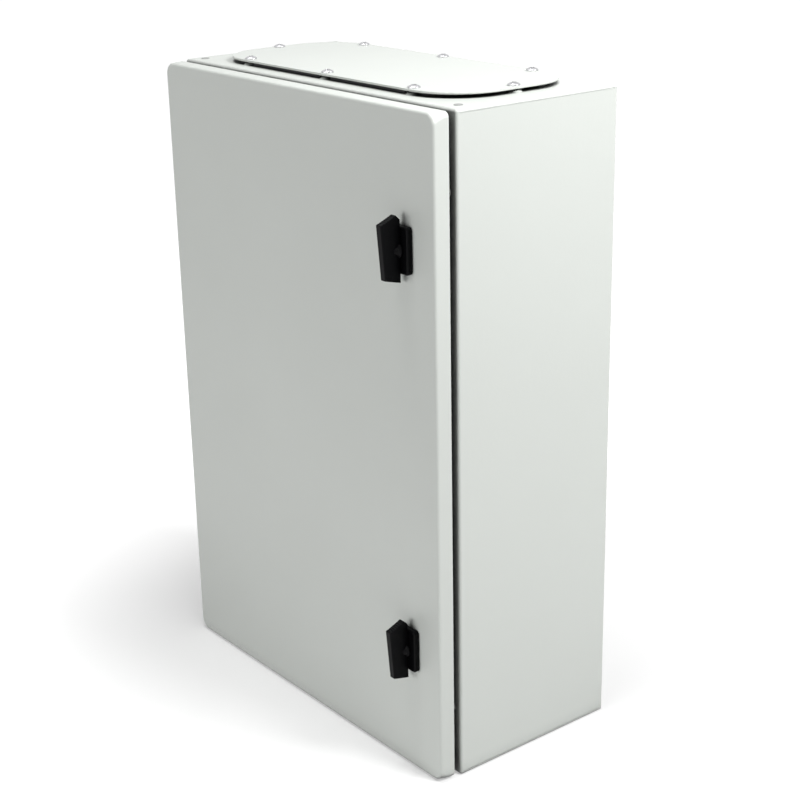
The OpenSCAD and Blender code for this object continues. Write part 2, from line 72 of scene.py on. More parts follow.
def newGroup(name, inputs, outputs):
    tree = bpy.data.node_groups.new(name, "ShaderNodeTree")
    for label, kind, value in inputs:
        socket = tree.interface.new_socket(label, in_out="INPUT", socket_type=kind)
        socket.default_value = value
    for label, kind in outputs:
        tree.interface.new_socket(label, in_out="OUTPUT", socket_type=kind)
    start = tree.nodes.new("NodeGroupInput")
    end = tree.nodes.new("NodeGroupOutput")
    return tree, start, end


def addNode(tree, kind, **values):
    node = tree.nodes.new(kind)
    for key, value in values.items():
        setattr(node, key, value)
    return node


def mathNode(tree, operation, first, second=None, clamp=False):
    # first and second are sockets or numbers
    node = addNode(tree, "ShaderNodeMath", operation=operation, use_clamp=clamp)
    for slot, value in enumerate((first, second)):
        if value is None:
            continue
        if isinstance(value, (int, float)):
            node.inputs[slot].default_value = value
        else:
            tree.links.new(value, node.inputs[slot])
    return node.outputs[0]


def noiseNode(tree, vector, scale, detail=2.0, roughness=0.5):
    node = addNode(tree, "ShaderNodeTexNoise")
    tree.links.new(vector, node.inputs["Vector"])
    node.inputs["Detail"].default_value = detail
    node.inputs["Roughness"].default_value = roughness
    if isinstance(scale, (int, float)):
        node.inputs["Scale"].default_value = scale
    else:
        tree.links.new(scale, node.inputs["Scale"])
    return node.outputs["Fac"]


def makePeelGroup():
    # the fine orange peel of a powder coat: a wide swell with a fine grain on it
    tree, start, end = newGroup(
        "orange peel",
        [("Scale", "NodeSocketFloat", 700.0), ("Grain", "NodeSocketFloat", 0.35)],
        [("Height", "NodeSocketFloat"), ("Shade", "NodeSocketFloat")],
    )
    coord = addNode(tree, "ShaderNodeTexCoord").outputs["Object"]
    fine = noiseNode(tree, coord, start.outputs["Scale"], 2.0, 0.55)
    wideScale = mathNode(tree, "MULTIPLY", start.outputs["Scale"], 0.3)
    wide = noiseNode(tree, coord, wideScale, 1.0, 0.5)
    grain = mathNode(tree, "MULTIPLY", fine, start.outputs["Grain"])
    tree.links.new(mathNode(tree, "ADD", wide, grain), end.inputs["Height"])
    shade = noiseNode(tree, coord, 6.0, 3.0, 0.6)
    tree.links.new(shade, end.inputs["Shade"])
    return tree


def makeEdgeGroup():
    # a mask along sharp edges, broken up by noise
    tree, start, end = newGroup(
        "edge mask",
        [("Width", "NodeSocketFloat", 0.0008), ("Scale", "NodeSocketFloat", 180.0)],
        [("Mask", "NodeSocketFloat")],
    )
    bevel = addNode(tree, "ShaderNodeBevel", samples=4)
    tree.links.new(start.outputs["Width"], bevel.inputs["Radius"])
    geometry = addNode(tree, "ShaderNodeNewGeometry")
    dot = addNode(tree, "ShaderNodeVectorMath", operation="DOT_PRODUCT")
    tree.links.new(bevel.outputs["Normal"], dot.inputs[0])
    tree.links.new(geometry.outputs["Normal"], dot.inputs[1])
    edge = mathNode(tree, "SUBTRACT", 1.0, dot.outputs["Value"])
    edge = mathNode(tree, "MULTIPLY", edge, 4.0, clamp=True)
    coord = addNode(tree, "ShaderNodeTexCoord").outputs["Object"]
    broken = noiseNode(tree, coord, start.outputs["Scale"], 3.0, 0.6)
    broken = mathNode(tree, "MULTIPLY", broken, 1.6, clamp=True)
    tree.links.new(mathNode(tree, "MULTIPLY", edge, broken), end.inputs["Mask"])
    return tree


def makeDustGroup():
    # fine dust on what faces up
    tree, start, end = newGroup(
        "dust",
        [("Amount", "NodeSocketFloat", 0.2), ("Scale", "NodeSocketFloat", 40.0)],
        [("Mask", "NodeSocketFloat")],
    )
    geometry = addNode(tree, "ShaderNodeNewGeometry")
    split = addNode(tree, "ShaderNodeSeparateXYZ")
    tree.links.new(geometry.outputs["Normal"], split.inputs[0])
    up = mathNode(tree, "MAXIMUM", split.outputs["Z"], 0.0)
    coord = addNode(tree, "ShaderNodeTexCoord").outputs["Object"]
    patches = noiseNode(tree, coord, start.outputs["Scale"], 4.0, 0.65)
    mask = mathNode(tree, "MULTIPLY", up, patches)
    tree.links.new(mathNode(tree, "MULTIPLY", mask, start.outputs["Amount"]), end.inputs["Mask"])
    return tree


def makePaintedShadeGroup():
    # painted shade: 1 on open faces, falling towards 0 in narrow gaps and inside corners, where it darkens
    # the paint in place of the shade that falls there
    tree, start, end = newGroup(
        "paintedCreviceShade",
        [
            ("Reach", "NodeSocketFloat", 0.03),
            ("Low", "NodeSocketFloat", 0.12),
            ("High", "NodeSocketFloat", 0.5),
        ],
        [("Open", "NodeSocketFloat")],
    )
    nearby = addNode(tree, "ShaderNodeAmbientOcclusion", samples=6)
    tree.links.new(start.outputs["Reach"], nearby.inputs["Distance"])
    ramp = addNode(tree, "ShaderNodeMapRange", interpolation_type="SMOOTHSTEP")
    tree.links.new(nearby.outputs["AO"], ramp.inputs["Value"])
    tree.links.new(start.outputs["Low"], ramp.inputs["From Min"])
    tree.links.new(start.outputs["High"], ramp.inputs["From Max"])
    tree.links.new(ramp.outputs["Result"], end.inputs["Open"])
    return tree


peelGroup = makePeelGroup()
edgeGroup = makeEdgeGroup()
dustGroup = makeDustGroup()
paintedShadeGroup = makePaintedShadeGroup()
print("shader groups ready")


# one material for each finish

def newMaterial(name, color, roughness, metallic=0.0):
    material = bpy.data.materials.new(name)
    material.use_nodes = True
    tree = material.node_tree
    shader = tree.nodes["Principled BSDF"]
    shader.inputs["Base Color"].default_value = (*color, 1.0)
    shader.inputs["Roughness"].default_value = roughness
    shader.inputs["Metallic"].default_value = metallic
    return material, tree, shader


def useGroup(tree, group, **values):
    node = addNode(tree, "ShaderNodeGroup", node_tree=group)
    for key, value in values.items():
        node.inputs[key].default_value = value
    return node


def mixColor(tree, mask, first, second):
    # first and second are colours or colour sockets
    node = addNode(tree, "ShaderNodeMix", data_type="RGBA")
    tree.links.new(mask, node.inputs["Factor"])
    for label, value in ((6, first), (7, second)):
        if isinstance(value, tuple):
            node.inputs[label].default_value = (*value, 1.0)
        else:
            tree.links.new(value, node.inputs[label])
    return node.outputs[2]


def bumpNode(tree, shader, height, distance):
    node = addNode(tree, "ShaderNodeBump")
    node.inputs["Strength"].default_value = 1.0
    node.inputs["Distance"].default_value = distance
    tree.links.new(height, node.inputs["Height"])
    tree.links.new(node.outputs["Normal"], shader.inputs["Normal"])


def stretch(tree, value, low, high):
    # carries the middle of a noise, 0.3 to 0.7, to low..high
    node = addNode(tree, "ShaderNodeMapRange")
    tree.links.new(value, node.inputs["Value"])
    node.inputs["From Min"].default_value = 0.3
    node.inputs["From Max"].default_value = 0.7
    node.inputs["To Min"].default_value = low
    node.inputs["To Max"].default_value = high
    return node.outputs["Result"]


paintFinish = {
    "color": (0.645, 0.672, 0.640),
    "shade": (0.625, 0.650, 0.620),
    "edge": (0.70, 0.722, 0.695),
    # painted shade: the near-black colour that stands in for shade in gaps and inside corners
    "paintedCreviceShade": (0.035, 0.038, 0.034),
    "roughness": (0.40, 0.50),
    "peelScale": 650.0,
    "peelGrain": 0.4,
    "peelDepth": 0.00006,
    "edgeWidth": 0.0009,
    "edgeScale": 120.0,
    "paintedShadeReach": 0.03,
    "paintedShadeRange": (0.22, 0.54),
}


def makePaint():
    s = paintFinish
    material, tree, shader = newMaterial("powder coat", s["color"], 0.45)
    peel = useGroup(tree, peelGroup, Scale=s["peelScale"], Grain=s["peelGrain"])
    edge = useGroup(tree, edgeGroup, Width=s["edgeWidth"], Scale=s["edgeScale"])
    tone = mixColor(tree, peel.outputs["Shade"], s["color"], s["shade"])
    tone = mixColor(tree, edge.outputs["Mask"], tone, s["edge"])
    low, high = s["paintedShadeRange"]
    paintedCreviceShade = useGroup(tree, paintedShadeGroup, Reach=s["paintedShadeReach"], Low=low, High=high)
    # painted shade: the paint is mixed towards near black in narrow gaps and inside corners, such as the gap
    # between door and body
    tone = mixColor(tree, paintedCreviceShade.outputs["Open"], s["paintedCreviceShade"], tone)
    tree.links.new(tone, shader.inputs["Base Color"])
    tree.links.new(stretch(tree, peel.outputs["Shade"], *s["roughness"]), shader.inputs["Roughness"])
    bumpNode(tree, shader, peel.outputs["Height"], s["peelDepth"])
    return material


zincFinish = {
    "color": (0.54, 0.55, 0.565),
    "patch": (0.46, 0.475, 0.50),
    "edge": (0.66, 0.67, 0.68),
    "roughness": (0.40, 0.56),
    "patchScale": 55.0,
    "spangleScale": 160.0,
    "patchShare": 0.7,
    "spangleShare": 0.5,
    "edgeWidth": 0.0005,
    "edgeScale": 300.0,
    "depth": 0.00001,
}


def makeZinc():
    # zinc plating: a mottled, faintly blue bright metal
    s = zincFinish
    material, tree, shader = newMaterial("zinc plate", s["color"], 0.3, 1.0)
    coord = addNode(tree, "ShaderNodeTexCoord").outputs["Object"]
    patch = noiseNode(tree, coord, s["patchScale"], 4.0, 0.65)
    cells = addNode(tree, "ShaderNodeTexVoronoi")
    cells.inputs["Scale"].default_value = s["spangleScale"]
    tree.links.new(coord, cells.inputs["Vector"])
    mottle = mathNode(tree, "MULTIPLY", patch, s["patchShare"])
    spangle = mathNode(tree, "MULTIPLY", cells.outputs["Distance"], s["spangleShare"])
    mottle = mathNode(tree, "ADD", mottle, spangle)
    edge = useGroup(tree, edgeGroup, Width=s["edgeWidth"], Scale=s["edgeScale"])
    tone = mixColor(tree, mottle, s["color"], s["patch"])
    tone = mixColor(tree, edge.outputs["Mask"], tone, s["edge"])
    tree.links.new(tone, shader.inputs["Base Color"])
    tree.links.new(stretch(tree, mottle, *s["roughness"]), shader.inputs["Roughness"])
    bumpNode(tree, shader, patch, s["depth"])
    return material


screwFinish = {
    "color": (0.62, 0.62, 0.63),
    "dull": (0.5, 0.5, 0.52),
    "edge": (0.78, 0.78, 0.78),
    "roughness": (0.18, 0.36),
    "grainScale": 420.0,
    "grainDepth": 0.00002,
    "edgeWidth": 0.0003,
    "edgeScale": 500.0,
}


def makeScrewSteel():
    s = screwFinish
    material, tree, shader = newMaterial("bright screw steel", s["color"], 0.25, 1.0)
    coord = addNode(tree, "ShaderNodeTexCoord").outputs["Object"]
    grain = noiseNode(tree, coord, s["grainScale"], 3.0, 0.6)
    edge = useGroup(tree, edgeGroup, Width=s["edgeWidth"], Scale=s["edgeScale"])
    tone = mixColor(tree, grain, s["color"], s["dull"])
    tone = mixColor(tree, edge.outputs["Mask"], tone, s["edge"])
    tree.links.new(tone, shader.inputs["Base Color"])
    tree.links.new(stretch(tree, grain, *s["roughness"]), shader.inputs["Roughness"])
    bumpNode(tree, shader, grain, s["grainDepth"])
    return material


plasticFinish = {
    "color": (0.0025, 0.0025, 0.003),
    "worn": (0.008, 0.008, 0.0085),
    "dust": 0.008,
    "sheen": 0.06,
    "roughness": (0.26, 0.38),
    "grainScale": 1500.0,
    "grainDepth": 0.00004,
}

greyFinish = {
    "color": (0.30, 0.305, 0.30),
    "worn": (0.42, 0.425, 0.42),
    "dust": 0.1,
    "sheen": 0.5,
    "roughness": (0.36, 0.50),
    "grainScale": 1100.0,
    "grainDepth": 0.00003,
}


# what both plastics have in common
mouldedFinish = {
    "grain": 0.9,
    "edgeWidth": 0.0006,
    "edgeScale": 260.0,
    "dustScale": 220.0,
    "dustColor": (0.3, 0.3, 0.3),
}


def makePlastic(name, own):
    s = {**mouldedFinish, **own}
    material, tree, shader = newMaterial(name, s["color"], 0.33)
    peel = useGroup(tree, peelGroup, Scale=s["grainScale"], Grain=s["grain"])
    edge = useGroup(tree, edgeGroup, Width=s["edgeWidth"], Scale=s["edgeScale"])
    dust = useGroup(tree, dustGroup, Amount=s["dust"], Scale=s["dustScale"])
    shader.inputs["Specular IOR Level"].default_value = s["sheen"]
    tone = mixColor(tree, edge.outputs["Mask"], s["color"], s["worn"])
    tone = mixColor(tree, dust.outputs["Mask"], tone, s["dustColor"])
    tree.links.new(tone, shader.inputs["Base Color"])
    tree.links.new(stretch(tree, peel.outputs["Shade"], *s["roughness"]), shader.inputs["Roughness"])
    bumpNode(tree, shader, peel.outputs["Height"], s["grainDepth"])
    return material


foamFinish = {
    "color": (0.04, 0.04, 0.042),
    "worn": (0.075, 0.075, 0.078),
    "roughness": (0.8, 1.0),
    "cellScale": 1400.0,
    "cellDepth": 0.0003,
    "toneScale": 300.0,
}


def makeFoam():
    # poured foam: closed cells under a dull skin
    s = foamFinish
    material, tree, shader = newMaterial("gasket foam", s["color"], 0.9)
    coord = addNode(tree, "ShaderNodeTexCoord").outputs["Object"]
    cells = addNode(tree, "ShaderNodeTexVoronoi")
    cells.inputs["Scale"].default_value = s["cellScale"]
    tree.links.new(coord, cells.inputs["Vector"])
    wide = noiseNode(tree, coord, s["toneScale"], 3.0, 0.6)
    tone = mixColor(tree, wide, s["color"], s["worn"])
    tree.links.new(tone, shader.inputs["Base Color"])
    tree.links.new(stretch(tree, wide, *s["roughness"]), shader.inputs["Roughness"])
    bumpNode(tree, shader, cells.outputs["Distance"], s["cellDepth"])
    return material


finishes = {
    "powder_coat": makePaint(),
    "zinc": makeZinc(),
    "steel_screws": makeScrewSteel(),
    "black_plastic": makePlastic("black plastic", plasticFinish),
    "grey_plastic": makePlastic("grey plastic", greyFinish),
    "gasket_foam": makeFoam(),
}
slotOf = {row["node"]: row["material_slot"] for row in frame["record"]["subparts"]}
print("materials ready:", len(finishes))


# CAD nodes get a material, welded corners and a small real bevel on every sharp edge
edgeWidths = {
    "powder_coat": 0.35 * mm,
    "zinc": 0.25 * mm,
    "steel_screws": 0.15 * mm,
    "black_plastic": 0.45 * mm,
    "grey_plastic": 0.3 * mm,
    "gasket_foam": 0.3 * mm,
}

dressSettings = {
    "weld": 0.01 * mm,
    "flatAngle": 0.2,   # degrees between faces that count as one flat face
    "bevelAngle": 35,
    "segments": 2,
}


def addBevel(item, width, segments, angle):
    bevel = item.modifiers.new("bevel", "BEVEL")
    bevel.width = width
    bevel.segments = segments
    bevel.limit_method = "ANGLE"
    bevel.angle_limit = math.radians(angle)
    bevel.harden_normals = True


def dressNode(name):
    s = dressSettings
    item = nodes[name]
    item.data.materials.clear()
    item.data.materials.append(finishes[slotOf[name]])
    weld = item.modifiers.new("weld", "WELD")
    weld.merge_threshold = s["weld"]
    flat = item.modifiers.new("flat faces", "DECIMATE")
    flat.decimate_type = "DISSOLVE"
    flat.angle_limit = math.radians(s["flatAngle"])
    addBevel(item, edgeWidths[slotOf[name]], s["segments"], s["bevelAngle"])


for name in nodes:
    dressNode(name)
print("CAD nodes dressed")


# pieces are built along +Z and turned into place
towardDoor = Matrix.Rotation(math.radians(90), 4, "X")
towardWall = Matrix.Rotation(math.radians(-90), 4, "X")
towardRight = Matrix.Rotation(math.radians(90), 4, "Y")


def addRings(bm, rings, close=False):
    # rings is a list of equally long loops of points, joined by quads; the ends meet or are capped
    loops = [[bm.verts.new(point) for point in ring] for ring in rings]
    count = len(loops[0])
    pairs = list(zip(loops, loops[1:]))
    if close:
        pairs.append((loops[-1], loops[0]))
    for first, second in pairs:
        for i in range(count):
            j = (i + 1) % count
            bm.faces.new((first[i], first[j], second[j], second[i]))
    if not close:
        bm.faces.new(list(reversed(loops[0])))
        bm.faces.new(loops[-1])


def circleRing(radius, z, count=48):
    # radius is a number or a function of the angle
    ring = []
    for i in range(count):
        angle = 2 * math.pi * i / count
        r = radius(angle) if callable(radius) else radius
        ring.append((r * math.cos(angle), r * math.sin(angle), z))
    return ring


def finishMesh(name, bm, sharp=35.0):
    bmesh.ops.recalc_face_normals(bm, faces=bm.faces)
    mesh = bpy.data.meshes.new(name)
    bm.to_mesh(mesh)
    bm.free()
    mesh.shade_smooth()
    mesh.set_sharp_from_angle(angle=math.radians(sharp))
    return mesh


def makeObject(name, mesh, slotName, body, replaced=()):
    item = bpy.data.objects.new(name, mesh)
    bpy.context.collection.objects.link(item)
    mesh.materials.append(finishes[slotName])
    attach(item, body)
    if replaced:
        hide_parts(*replaced)
    return item


def moved(bm, start, matrix):
    # carries the vertices added since start
    bm.verts.ensure_lookup_table()
    for vertex in bm.verts[start:]:
        vertex.co = matrix @ vertex.co


def corners(low, high, radius):
    # the four centres of a group that stands in a rectangle seen from the front
    xs = (low.x + radius, high.x - radius)
    zs = (low.z + radius, high.z - radius)
    return [(x, z) for x in xs for z in zs]


threadSettings = {
    "steps": 6,            # rings for each turn
    "count": 32,           # points in each ring
    "chamfer": 0.9 * mm,   # off the radius at the tip
}


def addThread(bm, radius, pitch, depth, low, high):
    # a helical thread from low to high, with a chamfered end
    s = threadSettings
    steps = max(2, round((high - low) / pitch * s["steps"]))
    rings = []
    for k in range(steps + 1):
        z = low + (high - low) * k / steps

        def crest(angle, z=z):
            turn = (z / pitch - angle / (2 * math.pi)) % 1.0
            groove = depth * (1.0 - abs(2.0 * turn - 1.0))
            return min(radius - groove, radius - s["chamfer"] + (high - z))
        rings.append(circleRing(crest, z, s["count"]))
    addRings(bm, rings)


nutSettings = {
    "face": 0.96,         # radius of the flat face as a share of half the width across flats
    "chamfer": 30,        # degrees
    "sink": 0.5 * mm,     # countersink of the bore
    "sharp": 20,          # degrees above which an edge stays sharp
}


def addNut(bm, corner, bore, low, high):
    # a hexagon nut with both faces chamfered, and a countersunk bore
    s = nutSettings
    half = corner * math.cos(math.radians(30))
    face = half * s["face"]
    sink = s["sink"]

    def hexagon(angle):
        return half / math.cos((angle + math.radians(30)) % math.radians(60) - math.radians(30))

    def shoulder(z, side):
        ring = []
        for x, y, _ in circleRing(hexagon, z):
            drop = (math.hypot(x, y) - face) * math.tan(math.radians(s["chamfer"]))
            ring.append((x, y, z - side * drop))
        return ring
    rings = [
        circleRing(bore, low + sink),
        circleRing(bore + sink, low),
        circleRing(face, low),
        shoulder(low, -1),
        shoulder(high, 1),
        circleRing(face, high),
        circleRing(bore + sink, high),
        circleRing(bore, high - sink),
    ]
    addRings(bm, rings, close=True)


washerSettings = {"lowerEdge": 0.2 * mm, "upperEdge": 0.3 * mm}


def addWasher(bm, outer, inner, low, high):
    lower, upper = washerSettings["lowerEdge"], washerSettings["upperEdge"]
    rings = [
        circleRing(inner, low),
        circleRing(outer - lower, low),
        circleRing(outer, low + lower),
        circleRing(outer, high - upper),
        circleRing(outer - upper, high),
        circleRing(inner, high),
    ]
    addRings(bm, rings, close=True)


studSettings = {
    "collar": 7.0 * mm,
    "radius": 3.9 * mm,
    "pitch": 1.25 * mm,
    "depth": 0.7 * mm,
    "nutCorner": 7.5 * mm,
    # how far below the plate's front each of these ends
    "collarEnd": 2.5 * mm,
    "shankStart": 2.4 * mm,
    "threadStart": 2.45 * mm,
    "collarEdge": 0.6 * mm,
}


def makeMountingStuds():
    s = studSettings
    low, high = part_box("mounting_studs")
    plateFront = -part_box("mounting_plate")[0].y
    base, tip = -high.y, -low.y
    bm = bmesh.new()
    for x, z in corners(low, high, s["collar"]):
        start = len(bm.verts)
        addRings(bm, [
            circleRing(s["collar"], base),
            circleRing(s["collar"], plateFront - s["collarEnd"] - s["collarEdge"]),
            circleRing(s["collar"] - s["collarEdge"], plateFront - s["collarEnd"]),
            circleRing(s["radius"] - s["depth"], plateFront - s["shankStart"]),
        ])
        addThread(bm, s["radius"], s["pitch"], s["depth"], plateFront - s["threadStart"], tip)
        moved(bm, start, Matrix.Translation((x, 0, z)) @ towardDoor)
    mesh = finishMesh("mounting studs", bm)
    makeObject("mountingStuds", mesh, "zinc", "enclosure", ("mounting_studs",))
    low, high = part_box("mounting_nuts")
    bm = bmesh.new()
    for x, z in corners(low, high, s["nutCorner"]):
        start = len(bm.verts)
        addNut(bm, s["nutCorner"], s["radius"], -high.y, -low.y)
        moved(bm, start, Matrix.Translation((x, 0, z)) @ towardDoor)
    mesh = finishMesh("mounting nuts", bm, nutSettings["sharp"])
    makeObject("mountingNuts", mesh, "zinc", "enclosure", ("mounting_nuts",))


earthSettings = {
    "radius": 2.9 * mm,
    "pitch": 1.0 * mm,
    "depth": 0.55 * mm,
    "nutCorner": 5.77 * mm,
    "washerRadius": 6.0 * mm,
    "washer": 1.2 * mm,
    "nut": 5.0 * mm,
    "gap": 0.04 * mm,
    "nuts": 2,
}


def makeEarthStud(side, body, turn, base):
    # base is where the stud leaves its sheet
    s = earthSettings
    low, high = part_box(side + "_earth_stud")
    length = max(high - low)
    bm = bmesh.new()
    addThread(bm, s["radius"], s["pitch"], s["depth"], 0, length)
    moved(bm, 0, Matrix.Translation(base) @ turn)
    mesh = finishMesh(side + " earth stud", bm)
    makeObject(side + "EarthStud", mesh, "zinc", body, (side + "_earth_stud",))
    bm = bmesh.new()
    step = s["washer"] + s["nut"] + s["gap"]
    for i in range(s["nuts"]):
        foot = i * step
        addWasher(bm, s["washerRadius"], s["radius"], foot, foot + s["washer"])
        addNut(bm, s["nutCorner"], s["radius"], foot + s["washer"], foot + s["washer"] + s["nut"])
    moved(bm, 0, Matrix.Translation(base) @ turn)
    mesh = finishMesh(side + " earth nuts", bm, nutSettings["sharp"])
    makeObject(side + "EarthNuts", mesh, "zinc", body, (side + "_earth_nuts",))


def makeEarthStuds():
    low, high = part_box("body_earth_stud")
    middle = (low + high) / 2
    makeEarthStud("body", "enclosure", towardRight, (low.x, middle.y, middle.z))
    low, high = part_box("door_earth_stud")
    middle = (low + high) / 2
    makeEarthStud("door", "door", towardWall, (middle.x, low.y, middle.z))


latchNutSettings = {"corner": 13.0 * mm, "bore": 8.8 * mm}


def makeLatchNuts():
    s = latchNutSettings
    for end in ("upper", "lower"):
        node = "latch_nut_" + end
        low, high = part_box(node)
        middle = (low + high) / 2
        bm = bmesh.new()
        addNut(bm, s["corner"], s["bore"], -high.y, -low.y)
        moved(bm, 0, Matrix.Translation((middle.x, 0, middle.z)) @ towardDoor)
        mesh = finishMesh(node, bm, nutSettings["sharp"])
        makeObject("latchNut-" + end, mesh, "zinc", "door", (node,))


# a foamed, crowned bead with the mark of the body's lip along it
gasketSettings = {
    "width": 10.0 * mm,
    "corner": 10.5 * mm,
    # across the bead from its middle, and up from the door, as shares of half the width and the height
    "section": (
        (1.0, 0.0), (1.0, 0.22), (0.94, 0.46), (0.80, 0.68),
        (0.58, 0.86), (0.34, 0.97), (0.18, 1.0), (0.07, 0.93),
    ),
    "arcSteps": 10,
    "sharp": 50,
}


def loopPath(width, height, radius, steps):
    # points and outward directions round a rectangle with round corners, seen from the front
    path = []
    for quarter, (sx, sz) in enumerate(((1, 1), (-1, 1), (-1, -1), (1, -1))):
        for k in range(steps + 1):
            angle = math.radians(90 * (quarter + k / steps))
            out = (math.cos(angle), math.sin(angle))
            centre = (sx * (width / 2 - radius), sz * (height / 2 - radius))
            path.append(((centre[0] + radius * out[0], centre[1] + radius * out[1]), out))
    return path


def makeDoorGasket():
    s = gasketSettings
    low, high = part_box("door_gasket")
    half = s["width"] / 2
    rise = high.y - low.y
    middle = (low + high) / 2
    section = [(u * half, v * rise) for u, v in s["section"]]
    section += [(-u, v) for u, v in reversed(section)]
    path = loopPath(high.x - low.x - s["width"], high.z - low.z - s["width"], s["corner"], s["arcSteps"])
    rings = []
    for (x, z), (dx, dz) in path:
        rings.append([(middle.x + x + u * dx, low.y + v, middle.z + z + u * dz) for u, v in section])
    bm = bmesh.new()
    addRings(bm, rings, close=True)
    mesh = finishMesh("door gasket", bm, s["sharp"])
    makeObject("doorGasket", mesh, "gasket_foam", "door", ("door_gasket",))


# tight corners at the back of the door's folded edge, wider ones round its face
doorSettings = {
    "sheet": 1.5 * mm,
    "bend": 2.2 * mm,
    "latchHole": 9.1 * mm,
    "notchPlay": 1.0 * mm,
    "notchHeight": 10.5 * mm,
    "support": 0.6 * mm,
    "arcSteps": 12,
    "bendSteps": 6,
    "innerBendSteps": 3,
    "sharp": 40,
    # corner radius, up from the rear edge of the fold
    "corner": ((0.0, 5.2), (4.0, 5.5), (8.0, 6.8), (10.5, 8.2), (13.3, 10.2), (15.5, 11.2)),
}

leftStart = 2 * (doorSettings["arcSteps"] + 1)   # where the left side starts in each ring


def cornerRadius(height):
    table = doorSettings["corner"]
    for (low, first), (high, second) in zip(table, table[1:]):
        if height <= high * mm + 1e-9:
            share = (height / mm - low) / (high - low)
            return (first + (second - first) * share) * mm
    return table[-1][1] * mm


def doorRing(bm, size, notches, rear, height, inset, radius):
    # one loop round the door; the left side also has the ends of both hinge notches
    path = loopPath(size[0] - 2 * inset, size[1] - 2 * inset, radius, doorSettings["arcSteps"])
    points = [point for point, _ in path]
    left = [(-size[0] / 2 + inset, z) for z in notches]
    points = points[:leftStart] + left + points[leftStart:]
    return [bm.verts.new((x, rear - height, z)) for x, z in points]


def joinRings(bm, first, second, skip=()):
    count = len(first)
    for i in range(count):
        if i not in skip:
            j = (i + 1) % count
            bm.faces.new((first[i], first[j], second[j], second[i]))


def fillFace(bm, loops):
    edges = []
    for loop in loops:
        for i, vertex in enumerate(loop):
            other = loop[(i + 1) % len(loop)]
            edges.append(bm.edges.get((vertex, other)) or bm.edges.new((vertex, other)))
    bmesh.ops.triangle_fill(bm, edges=edges, use_beauty=True)


def makeDoorSkin():
    s = doorSettings
    low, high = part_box("door_skin")
    size = (high.x - low.x, high.z - low.z)
    depth = high.y - low.y
    notches = []
    for end in ("upper", "lower"):
        blockLow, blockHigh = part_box("hinge_block_" + end)
        notches += [blockHigh.z + s["notchPlay"], blockLow.z - s["notchPlay"]]
    cut = (leftStart, leftStart + 2)
    walls = [height * mm for height, _ in s["corner"] if height * mm <= s["notchHeight"]]
    bm = bmesh.new()

    outer = [doorRing(bm, size, notches, high.y, h, 0, cornerRadius(h)) for h in walls]
    for k in range(s["bendSteps"] + 1):
        angle = math.radians(90 * k / s["bendSteps"])
        inset = s["bend"] * (1 - math.cos(angle))
        height = depth - s["bend"] + s["bend"] * math.sin(angle)
        outer.append(doorRing(bm, size, notches, high.y, height, inset, cornerRadius(height) - inset))
    inset = s["bend"] + s["support"]
    outer.append(doorRing(bm, size, notches, high.y, depth, inset, cornerRadius(depth) - inset))

    sheet = s["sheet"]
    inner = [doorRing(bm, size, notches, high.y, h, sheet, cornerRadius(h) - sheet) for h in walls]
    innerBend = s["bend"] - sheet
    for k in range(s["innerBendSteps"] + 1):
        angle = math.radians(90 * k / s["innerBendSteps"])
        inset = sheet + innerBend * (1 - math.cos(angle))
        height = depth - s["bend"] + innerBend * math.sin(angle)
        inner.append(doorRing(bm, size, notches, high.y, height, inset, cornerRadius(height) - inset))
    inset = s["bend"] + s["support"]
    inner.append(doorRing(bm, size, notches, high.y, depth - sheet, inset, cornerRadius(depth) - inset))

    # the notches are left out up to their height, and their edges are closed
    lastWall = len(walls) - 1
    joinRings(bm, outer[0], inner[0], cut)
    for rings in (outer, inner):
        for k in range(len(rings) - 1):
            joinRings(bm, rings[k], rings[k + 1], cut if k < lastWall else ())
    for i in cut:
        bm.faces.new((outer[lastWall][i], outer[lastWall][i + 1], inner[lastWall][i + 1], inner[lastWall][i]))
        for side in (i, i + 1):
            for k in range(lastWall):
                bm.faces.new((outer[k][side], outer[k + 1][side], inner[k + 1][side], inner[k][side]))

    holes = []
    for end in ("upper", "lower"):
        latchLow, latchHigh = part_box("latch_housing_" + end)
        x, z = (latchLow.x + latchHigh.x) / 2, (latchLow.z + latchHigh.z) / 2
        pair = []
        for y in (low.y, low.y + sheet):
            pair.append([bm.verts.new((x + a, y, z + b)) for a, b, _ in circleRing(s["latchHole"], 0)])
        joinRings(bm, pair[0], pair[1])
        holes.append(pair)
    fillFace(bm, [outer[-1], holes[0][0], holes[1][0]])
    fillFace(bm, [inner[-1], holes[0][1], holes[1][1]])
    mesh = finishMesh("door skin", bm, s["sharp"])
    makeObject("doorSkin", mesh, "powder_coat", "door", ("door_skin",))


wingSettings = {
    "thick": 6.0 * mm,
    # corners of the side view as shares of the wing's height and of its reach from the door
    "outline": ((0.0, 0.0), (0.93, 0.0), (1.0, 0.21), (0.888, 1.0), (0.071, 0.806)),
    "round": 0.9 * mm,
    "hub": ((6.4, 0.0), (6.4, 1.6), (6.0, 2.2), (4.6, 3.0), (3.9, 4.6), (3.2, 6.4)),
    "ribs": 6,
    "ribDepth": 0.35 * mm,
    # where the ribs start and how far they reach along the slanted top, and one rib's steps and depths
    "ribStart": 0.12,
    "ribReach": 0.76,
    "ribSteps": ((0.15, 0), (0.35, 1), (0.65, 1), (0.85, 0)),
    "roundAngle": 50,
    "roundSteps": 3,
    "sharp": 30,
}


def wingPoint(low, high, share):
    # share is up along the door and out from it
    return (low.z + share[0] * (high.z - low.z), high.y + share[1] * (low.y - high.y))


